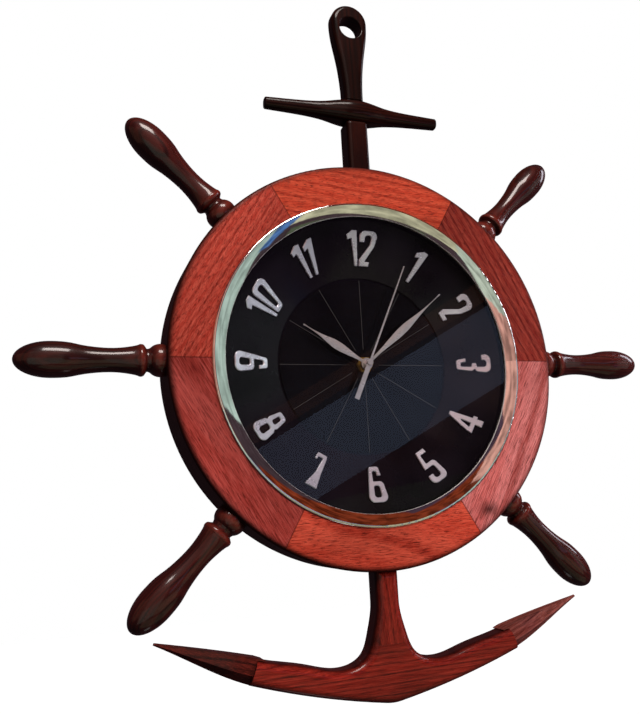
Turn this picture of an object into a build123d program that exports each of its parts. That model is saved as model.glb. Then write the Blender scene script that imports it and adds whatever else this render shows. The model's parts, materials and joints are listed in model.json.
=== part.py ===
from build123d import *
import os
from math import cos, hypot, radians, sin

os.makedirs("parts", exist_ok=True)

# A quartz wall clock in a wooden ship's wheel, with an anchor above and below it.
# The origin is the middle of the hanging eye. +Z is up and the dial looks along -Y.
# The axes of the handles and of the anchor lie in the plane Y = 0.

# Fits that many pieces share
glue_gap = 0.05
press_gap = 0.02
running_gap = 0.08
seat_gap = 0.2
overrun = 1.0

# Wheel rim, glued up from equal segments
rim_radius = 150.0
rim_width = 32.8
rim_ledge_width = 6.6
rim_lead = 14.0
rim_round = 3.0
wall_gap = 0.2
rim_segment_count = 6

# Turned handles and their tenons
handle_angles = (0, 45, 135, 180, 225, 315)
handle_length = 95.0
handle_head_radius = 12.0
handle_waist_radius = 8.1
handle_collar_radius = 11.0
handle_groove_radius = 7.8
handle_bead_radius = 11.2
tenon_radius = 6.0
tenon_length = 22.0

# Anchor above the rim: eye shank, stock, upper shank and the dowel that joins them
eye_hole_radius = 9.2
eye_wall = 5.8
eye_lift = 5.6
eye_hole_round = 0.9
eye_shank_width = 15.8
eye_shank_depth = 14.0
eye_shank_length = 63.1
eye_neck_width = 22.4
eye_neck_drop = 24.0
stock_half_length = 72.5
stock_height = 19.0
stock_depth = 23.0
stock_end_size = 8.8
stock_end_round = 1.0
upper_shank_length = 41.5
upper_shank_width = 17.5
upper_shank_depth = 18.0
shank_round = 3.5
shank_top_round = 2.6
dowel_radius = 4.0
dowel_grip = 20.0

# Anchor below the rim: lower shank, arms and two flukes
arms_depth = 20.0
arms_round = 5.4
lower_shank_width = 17.0
lower_shank_length = 48.0
shank_tenon_radius = 5.0
shank_tenon_length = 18.0
neck_height = 13.0
crown_height = 26.0
arm_throat_reach = 34.0
arm_reach = 97.2
arm_end_rise = 31.6
arm_end_height = 15.8
crown_round = 34.0
arm_end_lean = 21.0
fluke_length = 66.5
fluke_depth = 16.0
fluke_tip_size = 0.9
palm_step = 1.4
palm_overlap = 5.0
palm_edge_height = 0.6
palm_thickness = 2.4
fluke_pin_radius = 3.0
fluke_pin_length = 12.0

# Bezel, glass, gasket and dial, stacked on the ledge inside the rim
bezel_overlap = 2.8
bezel_slope_width = 6.6
bezel_lip_height = 1.4
bezel_lip_width = 1.6
bezel_edge_drop = 2.0
bezel_edge_height = 1.3
bezel_skirt_wall = 1.4
bezel_hollow = 0.2
glass_thickness = 2.2
gasket_height = 3.0
gasket_width = 3.0
dial_sheet = 1.0
dish_inset = 0.8
dish_drop = 14.6
dish_step = 1.2
centre_disc_thickness = 1.0
centre_disc_margin = 1.7
hour_line_width = 0.36
hour_line_height = 0.12
hour_line_start_radius = 12.0

# Raised numerals on the cone of the dish
hour_count = 12
numeral_inset = 7.2
numeral_run = 25.8
numeral_margin = 8.8
numeral_wide = 16.0
numeral_narrow = 7.4
numeral_height = 1.3
numeral_sink = 0.9
numeral_corner = 0.5
numeral_bevel = 0.42

# Hands and the hub that carries them
hand_thickness = 0.8
hand_ridge_slope_share = 0.13
hour_hand_margin = 11.5
hour_hand_half_width = 3.2
minute_hand_overlap = 8.6
minute_hand_half_width = 3.0
second_hand_overlap = 6.6
second_hand_tail = 30.0
second_hand_half_width = 0.75
second_tail_half_width = 1.8
hour_hand_gap = 2.2
minute_hand_gap = 1.9
second_hand_gap = 0.4
hour_hand_angle = 301.0
minute_hand_angle = 49.3
second_hand_angle = 24.0
second_arbor_radius = 0.5
minute_tube_radius = 1.65
hour_tube_radius = 2.7
bush_radius = 4.0
bush_nut_height = 2.4
bush_nut_width = 11.0
bush_proud = 0.6
hand_boss_wall = 1.7
minute_nut_radius = 2.7
minute_nut_height = 1.2
second_boss_radius = 2.3
second_boss_height = 0.8

# Quartz movement behind the dial
case_corner = 3.0
case_wall = 1.2
case_margin = 0.8
wheel_margin = 0.5
cover_thickness = 1.2
bay_wall = 0.8
battery_radius = 7.1
battery_length = 50.0
battery_nub_radius = 2.7
battery_nub_length = 1.2
battery_gap = 0.1
contact_thickness = 0.5
contact_room = 1.8
contact_inset = 2.1
contact_pad_radius = 2.4
post_radius = 1.2
stud_radius = 0.85
arbor_radius = 0.6
pivot_depth = 0.6
knob_radius = 5.0
knob_thickness = 0.9
set_arbor_radius = 1.0

# Gear train: module, then the depth of each wheel behind the case's front face
rotor_module = 0.30
second_module = 0.36
motion_module = 0.50
wheel_face = 0.9
pinion_overlap = 0.1
layer_gap = 0.5
hour_layer = 1.6
rotor_pinion_teeth = 10
fifth_wheel_teeth = 50
fifth_pinion_teeth = 10
second_wheel_teeth = 60
second_pinion_teeth = 8
third_wheel_teeth = 60
third_pinion_teeth = 8
centre_wheel_teeth = 64
cannon_teeth = 10
motion_wheel_teeth = 30
motion_pinion_teeth = 8
hour_wheel_teeth = 32
set_pinion_teeth = 10
third_angle = 150.0
fifth_angle = 30.0
rotor_angle = 30.0
motion_angle = 90.0

# Stepper motor and circuit
magnet_radius = 3.0
magnet_height = 2.3
magnet_gap = 0.4
stator_thickness = 1.0
stator_pad_radius = 4.9
stator_leg = 3.0
stator_left = 6.0
stator_inset = 1.5
coil_rise = 11.2
coil_gap = 0.4
coil_radius = 3.6
coil_core_width = 3.0
bobbin_radius = 2.2
bobbin_flange_radius = 4.0
bobbin_flange = 0.8
board_thickness = 1.0
board_inset = 0.6
board_right_edge = 4.0
crystal_radius = 1.0
crystal_length = 6.0

# Shapes of the gear teeth and outlines, as shares of the sizes that they follow
eye_round_share = 0.7
tooth_tip_share = 0.70
tooth_root_share = 1.1
tooth_tip_width_share = 0.08
tooth_middle_width_share = 0.18
tooth_root_width_share = 0.22
bead_shares = (0.045, 0.10)
bead_edge_shares = (0.93, 0.75)
groove_shares = (0.115, 0.125)
collar_shares = (0.143, 0.162, 0.182)
collar_edge_shares = (0.94, 0.95)
flare_slope_share = 0.36
flare_waist_shares = ((0.23, 1.155), (0.295, 1.045), (0.385, 1.0))
swell_shares = (0.568, 0.825)
head_share = 0.758
leaf_root_share = 0.38
leaf_shares = ((0.30, 0.72), (0.51, 1.0), (0.64, 0.60), (0.76, 0.26), (1.0, 0.15))
stock_shares = (
    (0.0, 1.0), (0.1, 0.93), (0.2, 0.75), (0.3, 0.52), (0.4, 0.34), (0.5, 0.23),
    (0.6, 0.16), (0.7, 0.11), (0.8, 0.07), (0.9, 0.035), (1.0, 0.0),
)
stock_round_share = 0.42
arm_top_shares = ((0.44, 0.40), (0.75, 0.72))
arm_top_slope_share = 0.25
flare_shares = ((0.32, 0.0), (0.67, 0.155), (0.90, 0.40))
crown_curve_shares = (0.4725, 0.38)
fluke_section_shares = ((0.0, 0.0, 1.0), (0.33, -0.035, 0.78), (0.68, -0.03, 0.42))
palm_width_share = 0.90
ridge_level_share = 0.14
keel_width_share = 0.36
digit_gap_share = 0.16
one_width_share = 0.58
stroke_x_share = 0.31
stroke_y_share = 0.13
bow_corner_share = 0.28
hollow_corner_share = 0.14
knee_corner_share = 0.16

# Places that follow from the sizes: the wheel and the anchor
hub_drop = rim_radius + upper_shank_length + stock_height + eye_shank_length
hub = (0, 0, -hub_drop)
rim_front = -rim_lead
rim_seat_radius = rim_radius - rim_width
rim_bore_radius = rim_seat_radius - rim_ledge_width
tenon_hole_radius = tenon_radius + glue_gap
eye_head_radius = eye_hole_radius + eye_wall
eye_top = eye_lift + eye_head_radius
eye_round = eye_wall * eye_round_share
stock_seat = stock_height / 2
stock_level = -eye_shank_length - stock_seat
shank_foot_drop = rim_radius + lower_shank_length
arm_throat_drop = shank_foot_drop + neck_height
crown_drop = arm_throat_drop + crown_height
arm_end_drop = crown_drop - arm_end_rise

# The bezel, the glass and the dial
bezel_radius = rim_seat_radius + bezel_overlap
bezel_opening_radius = rim_seat_radius - bezel_slope_width
skirt_radius = rim_seat_radius - seat_gap
glass_radius = skirt_radius - bezel_skirt_wall - seat_gap
glass_front = rim_front + bezel_edge_drop + bezel_edge_height
glass_back = glass_front + glass_thickness
flange_front = glass_back + gasket_height
rim_ledge = flange_front + dial_sheet
dish_radius = rim_bore_radius - dish_inset
numeral_outer_radius = dish_radius - numeral_inset
numeral_inner_radius = numeral_outer_radius - numeral_run
dish_floor_radius = numeral_inner_radius - numeral_margin
dish_foot = flange_front + dish_drop
floor_front = dish_foot + dish_step
floor_back = floor_front + dial_sheet
disc_front = floor_front - centre_disc_thickness

# The hands and the tubes that carry them
hour_hand_length = dish_floor_radius - hour_hand_margin
minute_hand_length = numeral_inner_radius + minute_hand_overlap
second_hand_length = numeral_inner_radius + second_hand_overlap
bush_front = disc_front - bush_nut_height - bush_proud
hour_hand_back = bush_front - hour_hand_gap
minute_hand_back = hour_hand_back - hand_thickness - minute_hand_gap
minute_hand_front = minute_hand_back - hand_thickness
minute_nut_front = minute_hand_front - minute_nut_height
second_hand_back = minute_nut_front - second_boss_height - second_hand_gap
minute_bore_radius = second_arbor_radius + running_gap
hour_bore_radius = minute_tube_radius + running_gap
bush_bore_radius = hour_tube_radius + running_gap
bush_hole_radius = bush_radius + seat_gap

# Depths of the layers behind the movement's front face, which lies against the dial
case_front = floor_back
cannon_layer = hour_layer + wheel_face + layer_gap
centre_layer = cannon_layer + wheel_face + layer_gap
third_layer = centre_layer + wheel_face + 2 * layer_gap
second_layer = third_layer + wheel_face + layer_gap
fifth_layer = second_layer + wheel_face + layer_gap
stator_layer = fifth_layer + wheel_face + layer_gap
crystal_back = stator_layer + board_thickness + 2 * crystal_radius
coil_back = stator_layer - stator_thickness / 2 + bobbin_flange_radius
case_depth = max(crystal_back, coil_back) + seat_gap
arbor_front = case_wall - pivot_depth
arbor_back = case_depth + pivot_depth
knob_front = case_depth + cover_thickness + seat_gap
battery_depth = case_wall + battery_gap + battery_radius
rim_back = case_front + max(knob_front + knob_thickness, battery_depth + battery_radius) + wall_gap


def polar(radius, angle):
    """The point at this radius and angle about the hub, as X and height over the hub."""
    return (radius * cos(radians(angle)), radius * sin(radians(angle)))


def mesh_distance(teeth, other_teeth, module):
    return module * (teeth + other_teeth) / 2


def tip_radius(teeth, module):
    return module * (teeth / 2 + tooth_tip_share)


# Places of the arbors; the third wheel's two meshes share one distance, which sets the centre wheel's module
third_distance = mesh_distance(second_pinion_teeth, third_wheel_teeth, second_module)
minute_module = 2 * third_distance / (third_pinion_teeth + centre_wheel_teeth)
third_place = polar(third_distance, third_angle)
fifth_place = polar(mesh_distance(fifth_pinion_teeth, second_wheel_teeth, second_module), fifth_angle)
rotor_step = polar(mesh_distance(rotor_pinion_teeth, fifth_wheel_teeth, rotor_module), rotor_angle)
rotor_place = (fifth_place[0] + rotor_step[0], fifth_place[1] + rotor_step[1])
motion_place = polar(mesh_distance(cannon_teeth, motion_wheel_teeth, motion_module), motion_angle)
set_step = polar(mesh_distance(motion_wheel_teeth, set_pinion_teeth, motion_module), motion_angle)
set_place = (motion_place[0] + set_step[0], motion_place[1] + set_step[1])

# Room inside the movement: beside the hub, under the wheels, round the battery and over the coil
battery_end = battery_length / 2
case_half = max(
    battery_end + contact_room,
    rotor_place[0] + stator_pad_radius + case_margin,
    tip_radius(third_wheel_teeth, second_module) - third_place[0] + case_margin,
)
centre_wheel_tip = tip_radius(centre_wheel_teeth, minute_module)
second_wheel_tip = tip_radius(second_wheel_teeth, second_module)
bay_top = max(centre_wheel_tip, second_wheel_tip) + wheel_margin + bay_wall
battery_drop = bay_top + battery_gap + battery_radius
case_low = battery_drop + battery_radius + battery_gap
coil_height = rotor_place[1] + coil_rise
set_pinion_top = set_place[1] + tip_radius(set_pinion_teeth, motion_module)
case_high = max(coil_height + bobbin_flange_radius, set_pinion_top) + case_margin
case_middle = (0, (case_high - case_low) / 2)
case_inside = (2 * case_half, case_high + case_low)
case_outside = (case_inside[0] + 2 * case_wall, case_inside[1] + 2 * case_wall)
stator_right = case_half - stator_inset - stator_leg / 2
coil_middle = (stator_left + stator_right) / 2
coil_length = stator_right - stator_left - stator_leg - 2 * coil_gap


def front_plane(depth, place=(0, 0)):
    """A plane facing the viewer at this depth, centred on a place beside the hub."""
    return Plane(origin=(place[0], depth, place[1] - hub_drop), x_dir=(1, 0, 0), z_dir=(0, -1, 0))


def spoke_plane(angle):
    """A plane through the hub axis: X runs out along the spoke and Y runs to the wall."""
    out = (cos(radians(angle)), 0, sin(radians(angle)))
    return Plane(origin=hub, x_dir=out, z_dir=(-out[2], 0, out[0]))


def spoke_axis(angle):
    return Axis(hub, (cos(radians(angle)), 0, sin(radians(angle))))


def spoke_end(angle, radius):
    """A plane square to a spoke at this radius from the hub."""
    out = Vector(cos(radians(angle)), 0, sin(radians(angle)))
    return Plane(origin=Vector(*hub) + out * radius, x_dir=(0, 1, 0), z_dir=out)


def save(builder, name):
    builder.part.label = name
    export_step(builder.part, f"parts/{name}.step")


hub_axis = Axis(hub, (0, -1, 0))
hub_section = spoke_plane(0)
spoke_angles = handle_angles + (90, 270)

# Rim segments: a ring with a rounded outer edge, cut into equal arcs, with holes for the tenons
segment_arc = 360 / rim_segment_count
for number in range(rim_segment_count):
    start = number * segment_arc
    with BuildPart() as rim_segment:
        with BuildSketch(spoke_plane(start)) as rim_section:
            with BuildLine():
                Polyline(
                    (rim_bore_radius, rim_ledge),
                    (rim_seat_radius, rim_ledge),
                    (rim_seat_radius, rim_front),
                    (rim_radius, rim_front),
                    (rim_radius, rim_back),
                    (rim_bore_radius, rim_back),
                    close=True,
                )
            make_face()
            fillet(rim_section.vertices().group_by(Axis.X)[-1], rim_round)
        revolve(axis=hub_axis, revolution_arc=segment_arc)
        for angle in spoke_angles:
            if abs((angle - start - segment_arc / 2 + 180) % 360 - 180) <= segment_arc:
                with BuildSketch(spoke_end(angle, rim_radius - tenon_length)):
                    Circle(tenon_hole_radius)
                extrude(amount=tenon_length + overrun, mode=Mode.SUBTRACT)
    save(rim_segment, f"rim_segment_{number + 1}")

# Handles: bead, groove and flared collar, then a waist that swells to a head with an egg-shaped end
handle_foot = rim_radius - overrun
bead_edges = [handle_bead_radius * share for share in bead_edge_shares]
collar_edges = [handle_collar_radius * share for share in collar_edge_shares]


def station(share):
    """A distance from the hub, as a share of the handle's length outside the rim."""
    return rim_radius + share * handle_length


for number, angle in enumerate(handle_angles):
    with BuildPart() as handle:
        with BuildSketch(spoke_plane(angle)):
            with BuildLine():
                Polyline((station(1), 0), (handle_foot, 0), (handle_foot, bead_edges[0]))
                ThreePointArc(
                    (handle_foot, bead_edges[0]),
                    (station(bead_shares[0]), handle_bead_radius),
                    (station(bead_shares[1]), bead_edges[1]),
                )
                Polyline(
                    (station(bead_shares[1]), bead_edges[1]),
                    (station(groove_shares[0]), handle_groove_radius),
                    (station(groove_shares[1]), handle_groove_radius),
                    (station(collar_shares[0]), collar_edges[0]),
                )
                ThreePointArc(
                    (station(collar_shares[0]), collar_edges[0]),
                    (station(collar_shares[1]), handle_collar_radius),
                    (station(collar_shares[2]), collar_edges[1]),
                )
                Spline(
                    (station(collar_shares[2]), collar_edges[1]),
                    *[(station(along), handle_waist_radius * wide) for along, wide in flare_waist_shares],
                    (station(swell_shares[0]), handle_head_radius * swell_shares[1]),
                    (station(head_share), handle_head_radius),
                    tangents=((1, -flare_slope_share), (1, 0)),
                )
                EllipticalCenterArc(
                    (station(head_share), 0), station(1) - station(head_share), handle_head_radius,
                    start_angle=0, arc_size=90,
                )
            make_face()
        revolve(axis=spoke_axis(angle))
        with BuildSketch(front_plane(handle_bead_radius + overrun)):
            Circle(rim_radius + glue_gap)
        extrude(amount=2 * (handle_bead_radius + overrun), mode=Mode.SUBTRACT)
        with BuildSketch(spoke_end(angle, rim_radius - tenon_length + glue_gap)):
            Circle(tenon_radius)
        extrude(amount=tenon_length + overrun)
    save(handle, f"handle_{number + 1}")

# Eye shank: a flat bar that swells to the head with the hanging eye
eye_foot = eye_shank_width / 2
eye_neck = eye_neck_width / 2
with BuildPart() as eye_shank:
    with BuildSketch(Plane.XZ.offset(-eye_shank_depth / 2)):
        with BuildLine():
            ThreePointArc((-eye_head_radius, eye_lift), (0, eye_top), (eye_head_radius, eye_lift))
            Spline(
                (eye_head_radius, eye_lift),
                (eye_neck, -eye_neck_drop),
                (eye_foot, -eye_shank_length),
                tangents=((0, -1), (0, -1)),
            )
            Line((eye_foot, -eye_shank_length), (-eye_foot, -eye_shank_length))
            Spline(
                (-eye_foot, -eye_shank_length),
                (-eye_neck, -eye_neck_drop),
                (-eye_head_radius, eye_lift),
                tangents=((0, 1), (0, 1)),
            )
        make_face()
    extrude(amount=eye_shank_depth)
    eye_edges = eye_shank.faces().filter_by(Axis.Y).edges()
    fillet(eye_edges.filter_by(lambda edge: edge.center().Z > -eye_shank_length + eye_round), eye_round)
    with BuildSketch(Plane.XZ.offset(-eye_shank_depth / 2)):
        Circle(eye_hole_radius)
    extrude(amount=eye_shank_depth, mode=Mode.SUBTRACT)
    eye_circles = eye_shank.edges().filter_by(GeomType.CIRCLE)
    hole_edges = eye_circles.filter_by(lambda edge: abs(edge.radius - eye_hole_radius) < glue_gap)
    fillet(hole_edges, eye_hole_round)
    with BuildSketch(Plane.XY.offset(-eye_shank_length)):
        Circle(dowel_radius + glue_gap)
    extrude(amount=dowel_grip + glue_gap, mode=Mode.SUBTRACT)
save(eye_shank, "eye_shank")


# Stock: a rounded bar, fullest in the middle, that tapers to each end
stock_sections = [(side * along, rest) for side in (-1, 1) for along, rest in stock_shares]
with BuildPart() as stock:
    for along, rest in sorted(set(stock_sections)):
        height = stock_end_size + (stock_height - stock_end_size) * rest
        depth = stock_end_size + (stock_depth - stock_end_size) * rest
        place = (along * stock_half_length, 0, stock_level)
        with BuildSketch(Plane(origin=place, x_dir=(0, 1, 0), z_dir=(1, 0, 0))):
            RectangleRounded(depth, height, height * stock_round_share)
    loft()
    fillet(stock.faces().filter_by(Axis.X).edges(), stock_end_round)
    with BuildSketch(Plane.XY.offset(stock_level - stock_height)):
        Circle(dowel_radius + glue_gap)
    extrude(amount=2 * stock_height, mode=Mode.SUBTRACT)
save(stock, "stock")

# Dowel through the stock, glued into both shanks
with BuildPart() as stock_dowel:
    with BuildSketch(Plane.XY.offset(stock_level - stock_seat - dowel_grip)):
        Circle(dowel_radius)
    extrude(amount=stock_height + 2 * dowel_grip)
save(stock_dowel, "stock_dowel")

# Upper shank: from the stock down to the rim, coped to the rim and tenoned into it
upper_shank_top = -hub_drop + rim_radius + upper_shank_length
with BuildPart() as upper_shank:
    with BuildSketch(Plane.XY.offset(upper_shank_top)):
        RectangleRounded(upper_shank_width, upper_shank_depth, shank_round)
    extrude(amount=-upper_shank_length - overrun)
    fillet(upper_shank.faces().sort_by(Axis.Z)[-1].edges(), shank_top_round)
    with BuildSketch(front_plane(upper_shank_depth)):
        Circle(rim_radius + glue_gap)
    extrude(amount=2 * upper_shank_depth, mode=Mode.SUBTRACT)
    with BuildSketch(spoke_end(90, rim_radius - tenon_length + glue_gap)):
        Circle(tenon_radius)
    extrude(amount=tenon_length + overrun)
    with BuildSketch(Plane.XY.offset(upper_shank_top)):
        Circle(dowel_radius + glue_gap)
    extrude(amount=-dowel_grip - glue_gap, mode=Mode.SUBTRACT)
save(upper_shank, "upper_shank")

# Anchor foot: its outline runs down the shank, through the throat, along the arm and back under the crown
lean_x, lean_z = sin(radians(arm_end_lean)), cos(radians(arm_end_lean))
arm_end_half = arm_end_height / 2
arm_end_top = (arm_reach - arm_end_half * lean_x, -arm_end_drop + arm_end_half * lean_z)
arm_end_foot = (arm_reach + arm_end_half * lean_x, -arm_end_drop - arm_end_half * lean_z)
shank_half = lower_shank_width / 2
flare_run = arm_throat_reach - shank_half
flare_drop = arm_throat_drop - rim_radius
flare = [(shank_half + flare_run * wide, -rim_radius - flare_drop * down) for down, wide in flare_shares]
arm_run = arm_end_top[0] - arm_throat_reach
arm_rise = arm_end_top[1] + arm_throat_drop
arm_top = [
    (arm_throat_reach + arm_run * along, -arm_throat_drop + arm_rise * up)
    for along, up in arm_top_shares
]
crown_rise = crown_drop + arm_end_foot[1]
crown_knee = (arm_end_foot[0] * crown_curve_shares[0], -crown_drop + crown_rise * crown_curve_shares[1])


def foot_board():
    """The whole foot of the anchor as one rounded board."""
    with BuildSketch(front_plane(arms_depth / 2)) as board:
        with BuildLine():
            Polyline((0, overrun - rim_radius), (shank_half, overrun - rim_radius), flare[0])
            Spline(
                *flare,
                (arm_throat_reach, -arm_throat_drop),
                *arm_top,
                arm_end_top,
                tangents=((0, -1), (1, arm_top_slope_share)),
            )
            Line(arm_end_top, arm_end_foot)
            ThreePointArc(arm_end_foot, crown_knee, (0, -crown_drop))
            mirror(about=Plane.YZ)
        make_face()
        fillet(board.vertices().sort_by(Axis.Y)[0], crown_round)
    slab = extrude(board.sketch, amount=arms_depth)
    face_edges = slab.faces().filter_by(Axis.Y).edges()
    fillet(face_edges.filter_by(lambda edge: edge.length > arm_end_height + overrun), arms_round)


def arm_end_plane(side):
    """The plane of an arm's end: X runs up the end face and Z runs along the fluke."""
    origin = (side * arm_reach, 0, -hub_drop - arm_end_drop)
    return Plane(origin=origin, x_dir=(-side * lean_x, 0, lean_z), z_dir=(side * lean_z, 0, lean_x))


# Lower shank: the upright part of the foot, coped and tenoned to the rim and tenoned into the arms
shank_foot = Plane.XY.offset(-hub_drop - shank_foot_drop)
with BuildPart() as lower_shank:
    foot_board()
    split(bisect_by=shank_foot, keep=Keep.TOP)
    with BuildSketch(front_plane(arms_depth)):
        Circle(rim_radius + glue_gap)
    extrude(amount=2 * arms_depth, mode=Mode.SUBTRACT)
    with BuildSketch(spoke_end(270, rim_radius - tenon_length + glue_gap)):
        Circle(tenon_radius)
    extrude(amount=tenon_length + overrun)
    with BuildSketch(shank_foot):
        Circle(shank_tenon_radius)
    extrude(amount=-shank_tenon_length)
save(lower_shank, "lower_shank")

# Arms: the crown and both arms in one piece, with a hole for the shank and a pin for each fluke
with BuildPart() as anchor_arms:
    foot_board()
    split(bisect_by=shank_foot.offset(-glue_gap), keep=Keep.BOTTOM)
    with BuildSketch(shank_foot):
        Circle(shank_tenon_radius + glue_gap)
    extrude(amount=-shank_tenon_length - glue_gap, mode=Mode.SUBTRACT)
    for side in (-1, 1):
        with BuildSketch(arm_end_plane(side)):
            Circle(fluke_pin_radius)
        extrude(amount=fluke_pin_length)
save(anchor_arms, "anchor_arms")

# Flukes: spear heads with a flat palm on top and a ridge on each side, pinned to the ends of the arms
fluke_height = arm_end_height + palm_step
palm_edge, keel_edge = fluke_depth / 2 * palm_width_share, fluke_depth / 2 * keel_width_share
for side, name in ((-1, "fluke_left"), (1, "fluke_right")):
    with BuildPart() as fluke:
        for along, lift, size in fluke_section_shares:
            middle = palm_step / 2 + fluke_height * lift
            half = fluke_height * size / 2
            ridge = middle - fluke_height * size * ridge_level_share
            with BuildSketch(arm_end_plane(side).offset(glue_gap + fluke_length * along)):
                with BuildLine():
                    Polyline(
                        (middle + half, -palm_edge * size),
                        (middle + half, palm_edge * size),
                        (ridge, fluke_depth / 2 * size),
                        (middle - half, keel_edge * size),
                        (middle - half, -keel_edge * size),
                        (ridge, -fluke_depth / 2 * size),
                        close=True,
                    )
                make_face()
        with BuildSketch(arm_end_plane(side).offset(fluke_length)):
            RegularPolygon(radius=fluke_tip_size, side_count=6, rotation=30)
        loft()
        palm_top = palm_step / 2 + fluke_height / 2
        palm_origin = arm_end_plane(side).origin - Vector(0, palm_edge, 0)
        with BuildSketch(Plane(origin=palm_origin, x_dir=arm_end_plane(side).z_dir, z_dir=(0, -side, 0))):
            with BuildLine():
                Polyline(
                    (overrun, palm_top - palm_thickness),
                    (overrun, palm_top),
                    (-palm_overlap, palm_top),
                    (-palm_overlap, palm_top - palm_edge_height),
                    (0, palm_top - palm_step + glue_gap),
                    (glue_gap, palm_top - palm_thickness),
                    close=True,
                )
            make_face()
        extrude(amount=-side * 2 * palm_edge)
        with BuildSketch(arm_end_plane(side)):
            Circle(fluke_pin_radius + glue_gap)
        extrude(amount=fluke_pin_length + glue_gap, mode=Mode.SUBTRACT)
    save(fluke, name)

# Bezel: a polished ring with a lip on the rim's face, a hollow slope to the glass and a skirt in the recess
slope_top = (bezel_radius - bezel_lip_width, rim_front - bezel_lip_height)
slope_foot = (bezel_opening_radius, rim_front + bezel_edge_drop)
slope_middle = ((slope_top[0] + slope_foot[0]) / 2, (slope_top[1] + slope_foot[1]) / 2 + bezel_hollow)
with BuildPart() as bezel:
    with BuildSketch(hub_section):
        with BuildLine():
            Polyline(
                (skirt_radius, flange_front - seat_gap),
                (skirt_radius, rim_front),
                (bezel_radius, rim_front),
                (bezel_radius, rim_front - bezel_lip_height / 2),
            )
            RadiusArc((bezel_radius, rim_front - bezel_lip_height / 2), slope_top, bezel_lip_width)
            ThreePointArc(slope_top, slope_middle, slope_foot)
            Polyline(
                slope_foot,
                (bezel_opening_radius, glass_front),
                (skirt_radius - bezel_skirt_wall, glass_front),
                (skirt_radius - bezel_skirt_wall, flange_front - seat_gap),
                (skirt_radius, flange_front - seat_gap),
            )
        make_face()
    revolve(axis=hub_axis)
save(bezel, "bezel")

# Glass
with BuildPart() as glass:
    with BuildSketch(front_plane(glass_back)):
        Circle(glass_radius)
    extrude(amount=glass_thickness)
save(glass, "glass")

# Gasket between the glass and the dial's flange
with BuildPart() as gasket:
    with BuildSketch(front_plane(flange_front)):
        Circle(glass_radius)
        Circle(glass_radius - gasket_width, mode=Mode.SUBTRACT)
    extrude(amount=gasket_height)
save(gasket, "gasket")

# Dial pan: flange, cone and floor of one sheet
with BuildPart() as dial_pan:
    with BuildSketch(hub_section):
        with BuildLine():
            Polyline(
                (skirt_radius, flange_front),
                (dish_radius, flange_front),
                (dish_floor_radius, dish_foot),
                (dish_floor_radius, floor_front),
                (bush_hole_radius, floor_front),
                (bush_hole_radius, floor_back),
                (dish_floor_radius + dial_sheet, floor_back),
                (dish_floor_radius + dial_sheet, dish_foot + dial_sheet),
                (dish_radius, rim_ledge),
                (skirt_radius, rim_ledge),
                close=True,
            )
        make_face()
    revolve(axis=hub_axis)
save(dial_pan, "dial_pan")

# Dial centre: a flat disc with twelve fine raised hour lines
centre_disc_radius = dish_floor_radius - centre_disc_margin
hour_line_length = centre_disc_radius - hour_line_start_radius
with BuildPart() as dial_centre:
    with BuildSketch(front_plane(floor_front)):
        Circle(centre_disc_radius)
        Circle(bush_hole_radius, mode=Mode.SUBTRACT)
    extrude(amount=centre_disc_thickness)
    with BuildSketch(front_plane(disc_front)):
        with PolarLocations(hour_line_start_radius + hour_line_length / 2, hour_count):
            Rectangle(hour_line_length, hour_line_width)
    extrude(amount=hour_line_height)
save(dial_centre, "dial_centre")

# Digits as outlines in a unit box, each followed by its counters; a soft corner adds its radius as a share
x_share, y_share = stroke_x_share, stroke_y_share
far_x_share, far_y_share = 1 - x_share, 1 - y_share
bow_share, hollow_share, knee_share = bow_corner_share, hollow_corner_share, knee_corner_share
zero_shares = [(0, 0, bow_share), (1, 0, bow_share), (1, 1, bow_share), (0, 1, bow_share)]


def counter(low_share, high_share):
    """The soft-cornered hollow of a digit between two heights."""
    sides = ((x_share, low_share), (far_x_share, low_share), (far_x_share, high_share), (x_share, high_share))
    return [(*side, hollow_share) for side in sides]


one_shares = [(0.42, 0), (1, 0), (1, 1), (0.56, 1), (0, 0.86), (0, 0.72), (0.42, 0.78)]
two_shares = [
    (0, 0), (1, 0), (1, y_share), (0.50, y_share), (1, 0.56, bow_share), (1, 1, bow_share), (0, 1, bow_share),
    (0, 0.68), (x_share, 0.68), (x_share, far_y_share, hollow_share),
    (far_x_share, far_y_share, hollow_share), (far_x_share, 0.60, bow_share), (0, 0.18),
]
three_shares = [
    (0, 0, bow_share), (1, 0, bow_share), (1, 0.45, knee_share), (0.84, 0.52), (1, 0.59, knee_share),
    (1, 1, bow_share), (0, 1, bow_share), (0, 0.74), (x_share, 0.74), (x_share, far_y_share, hollow_share),
    (far_x_share, far_y_share, hollow_share), (far_x_share, 0.60), (0.44, 0.57), (0.44, 0.46),
    (far_x_share, 0.43), (far_x_share, y_share, hollow_share), (x_share, y_share, hollow_share),
    (x_share, 0.28), (0, 0.28),
]
four_shares = [
    (0.52, 0), (0.86, 0), (0.86, 0.20), (1, 0.20), (1, 0.33), (0.86, 0.33), (0.86, 1), (0.46, 1), (0, 0.36),
    (0, 0.20), (0.52, 0.20),
]
four_counter_shares = [(0.26, 0.33), (0.52, 0.33), (0.52, 0.72)]
five_shares = [
    (0, 0, bow_share), (1, 0, bow_share), (1, 0.60, bow_share), (x_share, 0.60), (x_share, far_y_share),
    (1, far_y_share), (1, 1), (0, 1), (0, 0.47), (far_x_share, 0.47, hollow_share),
    (far_x_share, y_share, hollow_share), (x_share, y_share, hollow_share), (x_share, 0.28), (0, 0.28),
]
six_shares = [
    (0, 0, bow_share), (1, 0, bow_share), (1, 0.58, bow_share), (x_share, 0.58),
    (x_share, far_y_share, hollow_share), (far_x_share, far_y_share, hollow_share), (far_x_share, 0.74),
    (1, 0.74), (1, 1, bow_share), (0, 1, bow_share),
]
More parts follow.
